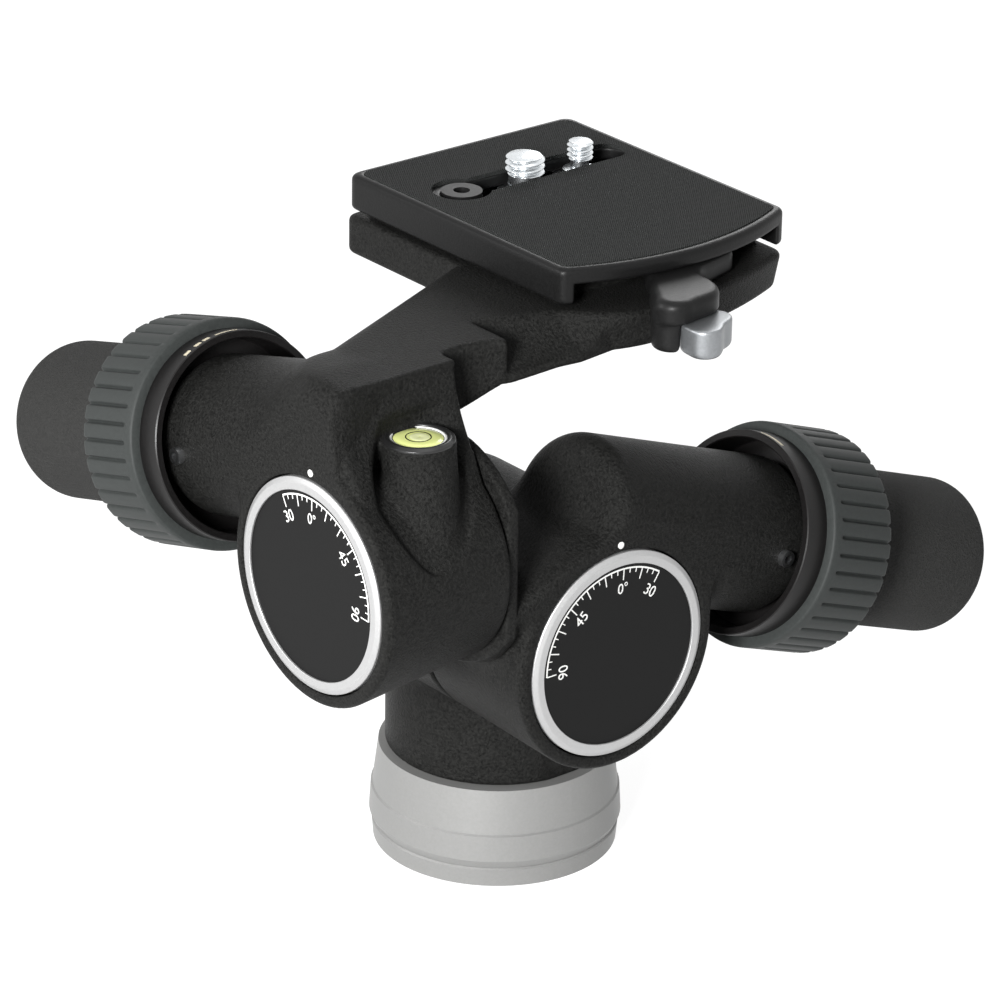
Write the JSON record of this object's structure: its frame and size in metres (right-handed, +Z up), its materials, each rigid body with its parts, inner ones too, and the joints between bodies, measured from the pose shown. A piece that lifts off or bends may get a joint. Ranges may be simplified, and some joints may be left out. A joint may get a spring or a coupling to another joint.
{
  "type": "geared tripod head",
  "caption": "Three-axis geared tripod head with worm-driven pan and two tilts, rubber release collars, dial scales, bubble level and quick-release camera plate.",
  "frame": {"origin": "centre of the base's flat underside, on the axis of the tripod thread", "axes": "+Z up along the pan axis; +X the way the lower tilt's dial faces; -Y the way the upper tilt's dial faces"},
  "size_m": [0.1562, 0.2042, 0.1672],
  "materials": {
    "base_silver": "satin painted silver",
    "casting_black": "black textured powder coat, satin",
    "collar_black": "black, satin",
    "grip_rubber": "slate grey ribbed rubber, matte",
    "knob_grey": "fine-grained matte dark grey",
    "dial_black": "black, satin, white scale",
    "dial_silver": "satin",
    "index_white": "white dot",
    "steel": "ground",
    "bronze": "machined",
    "cartridge_grey": "machined",
    "plate_black": "black anodised",
    "pad_rubber": "dark rubber, fine diagonal texture",
    "lever_black": "satin",
    "catch_silver": "satin",
    "zinc": "bright zinc",
    "vial_green": "clear, pale yellow-green liquid",
    "level_rim": "black, satin"
  },
  "bodies": {
    "base": {"base_casting": "base_silver", "tripod_thread_insert": "steel", "pan_spindle": "steel", "pan_wheel": "bronze", "pan_thrust_washer": "steel", "pan_spindle_nut": "steel"},
    "pan_body": {"pan_housing": "casting_black", "pan_bushing": "casting_black", "pan_set_screw": "steel", "lower_tilt_shaft": "steel", "lower_tilt_wheel": "bronze", "lower_dial_disc": "dial_black", "lower_dial_ring": "dial_silver"},
    "lower_body": {"lower_tilt_housing": "casting_black", "lower_bearing_cap": "casting_black", "lower_tilt_bushes": "bronze", "lower_index_dot": "index_white", "lower_set_screw": "steel", "upper_tilt_shaft": "steel", "upper_tilt_wheel": "bronze", "upper_dial_disc": "dial_black", "upper_dial_ring": "dial_silver"},
    "upper_body": {"upper_tilt_housing": "casting_black", "upper_bearing_cap": "casting_black", "upper_tilt_bushes": "bronze", "upper_index_dot": "index_white", "upper_set_screw": "steel", "level_vial": "vial_green", "level_ring": "level_rim", "camera_plate": "plate_black", "plate_pad": "pad_rubber", "slot_bush": "lever_black", "lever_pivot_pin": "steel"},
    "lever": {"release_lever": "lever_black"},
    "catch": {"safety_catch": "catch_silver"},
    "screw_3_8_slider": {"screw_washer_3_8": "zinc"},
    "screw_3_8": {"camera_screw_3_8": "zinc"},
    "screw_1_4_slider": {"screw_washer_1_4": "zinc"},
    "screw_1_4": {"camera_screw_1_4": "zinc"},
    "pan_collar": {"pan_release_collar": "collar_black", "pan_collar_grip": "grip_rubber"},
    "pan_cartridge": {"pan_worm_cartridge": "cartridge_grey", "pan_worm_bushes": "bronze"},
    "pan_knob": {"pan_worm": "steel", "pan_knob": "knob_grey"},
    "lower_collar": {"lower_release_collar": "collar_black", "lower_collar_grip": "grip_rubber"},
    "lower_cartridge": {"lower_worm_cartridge": "cartridge_grey", "lower_worm_bushes": "bronze"},
    "lower_knob": {"lower_worm": "steel", "lower_knob": "knob_grey"},
    "upper_collar": {"upper_release_collar": "collar_black", "upper_collar_grip": "grip_rubber"},
    "upper_cartridge": {"upper_worm_cartridge": "cartridge_grey", "upper_worm_bushes": "bronze"},
    "upper_knob": {"upper_worm": "steel", "upper_knob": "knob_grey"}
  },
  "joints": [
    {"name": "pan_turn", "type": "hinge", "parent": "base", "child": "pan_body", "pos_m": [0, 0, 0.042], "axis": [0, 0, 1], "continuous": true},
    {"name": "lower_tilt", "type": "hinge", "parent": "pan_body", "child": "lower_body", "pos_m": [0.0455, -0.0165, 0.0772], "axis": [1, 0, 0], "range_deg": [-30, 90]},
    {"name": "upper_tilt", "type": "hinge", "parent": "lower_body", "child": "upper_body", "pos_m": [0.0407, -0.069, 0.1057], "axis": [0, 1, 0], "range_deg": [-30, 90]},
    {"name": "pan_collar_turn", "type": "hinge", "parent": "pan_body", "child": "pan_collar", "pos_m": [-0.0272, 0, 0.042], "axis": [0, 1, 0], "range_deg": [0, 35], "stiffness_Nm_per_rad": 0.08, "springref_deg": -57.3},
    {"name": "pan_worm_release", "type": "slide", "parent": "pan_body", "child": "pan_cartridge", "axis": [-1, 0, 0], "range_m": [0, 0.0017]},
    {"name": "pan_knob_turn", "type": "hinge", "parent": "pan_cartridge", "child": "pan_knob", "pos_m": [-0.0272, 0, 0.042], "axis": [0, 1, 0], "continuous": true},
    {"name": "lower_collar_turn", "type": "hinge", "parent": "lower_body", "child": "lower_collar", "pos_m": [0.0455, -0.00711, 0.10273], "axis": [0, 0.9385, -0.3453], "range_deg": [0, 35], "stiffness_Nm_per_rad": 0.08, "springref_deg": -57.3},
    {"name": "lower_worm_release", "type": "slide", "parent": "lower_body", "child": "lower_cartridge", "axis": [0, 0.3453, 0.9385], "range_m": [0, 0.0017]},
    {"name": "lower_knob_turn", "type": "hinge", "parent": "lower_cartridge", "child": "lower_knob", "pos_m": [0.0455, -0.00711, 0.10273], "axis": [0, 0.9385, -0.3453], "range_deg": [-4320, 1440]},
    {"name": "upper_collar_turn", "type": "hinge", "parent": "upper_body", "child": "upper_collar", "pos_m": [0.03348, -0.069, 0.13192], "axis": [-0.9641, 0, -0.2656], "range_deg": [0, 35], "stiffness_Nm_per_rad": 0.08, "springref_deg": -57.3},
    {"name": "upper_worm_release", "type": "slide", "parent": "upper_body", "child": "upper_cartridge", "axis": [-0.2656, 0, 0.9641], "range_m": [0, 0.0017]},
    {"name": "upper_knob_turn", "type": "hinge", "parent": "upper_cartridge", "child": "upper_knob", "pos_m": [0.03348, -0.069, 0.13192], "axis": [-0.9641, 0, -0.2656], "range_deg": [-4320, 1440]},
    {"name": "lever_turn", "type": "hinge", "parent": "upper_body", "child": "lever", "pos_m": [0.0375, 0.031, 0.155], "axis": [0, 0, 1], "range_deg": [0, 35], "stiffness_Nm_per_rad": 0.02, "springref_deg": -34.38},
    {"name": "catch_turn", "type": "hinge", "parent": "lever", "child": "catch", "pos_m": [0.0544, 0.0108, 0.149], "axis": [0, 0, 1], "range_deg": [0, 25], "stiffness_Nm_per_rad": 0.004, "springref_deg": -34.38},
    {"name": "screw_3_8_slide", "type": "slide", "parent": "upper_body", "child": "screw_3_8_slider", "axis": [0, 1, 0], "range_m": [-0.009, 0.003]},
    {"name": "screw_3_8_turn", "type": "hinge", "parent": "screw_3_8_slider", "child": "screw_3_8", "pos_m": [-0.0173, 0.0203, 0.157], "axis": [0, 0, 1], "continuous": true},
    {"name": "screw_1_4_slide", "type": "slide", "parent": "upper_body", "child": "screw_1_4_slider", "axis": [0, 1, 0], "range_m": [-0.002, 0.007]},
    {"name": "screw_1_4_turn", "type": "hinge", "parent": "screw_1_4_slider", "child": "screw_1_4", "pos_m": [-0.0173, 0.0374, 0.157], "axis": [0, 0, 1], "continuous": true}
  ],
  "couplings": [
    {"joint": "pan_worm_release", "follows": "pan_collar_turn", "m_per_rad": 0.002619},
    {"joint": "pan_knob_turn", "follows": "pan_turn", "ratio": -48},
    {"joint": "lower_worm_release", "follows": "lower_collar_turn", "m_per_rad": 0.002619},
    {"joint": "lower_knob_turn", "follows": "lower_tilt", "ratio": -48},
    {"joint": "upper_worm_release", "follows": "upper_collar_turn", "m_per_rad": 0.002619},
    {"joint": "upper_knob_turn", "follows": "upper_tilt", "ratio": -48}
  ]
}
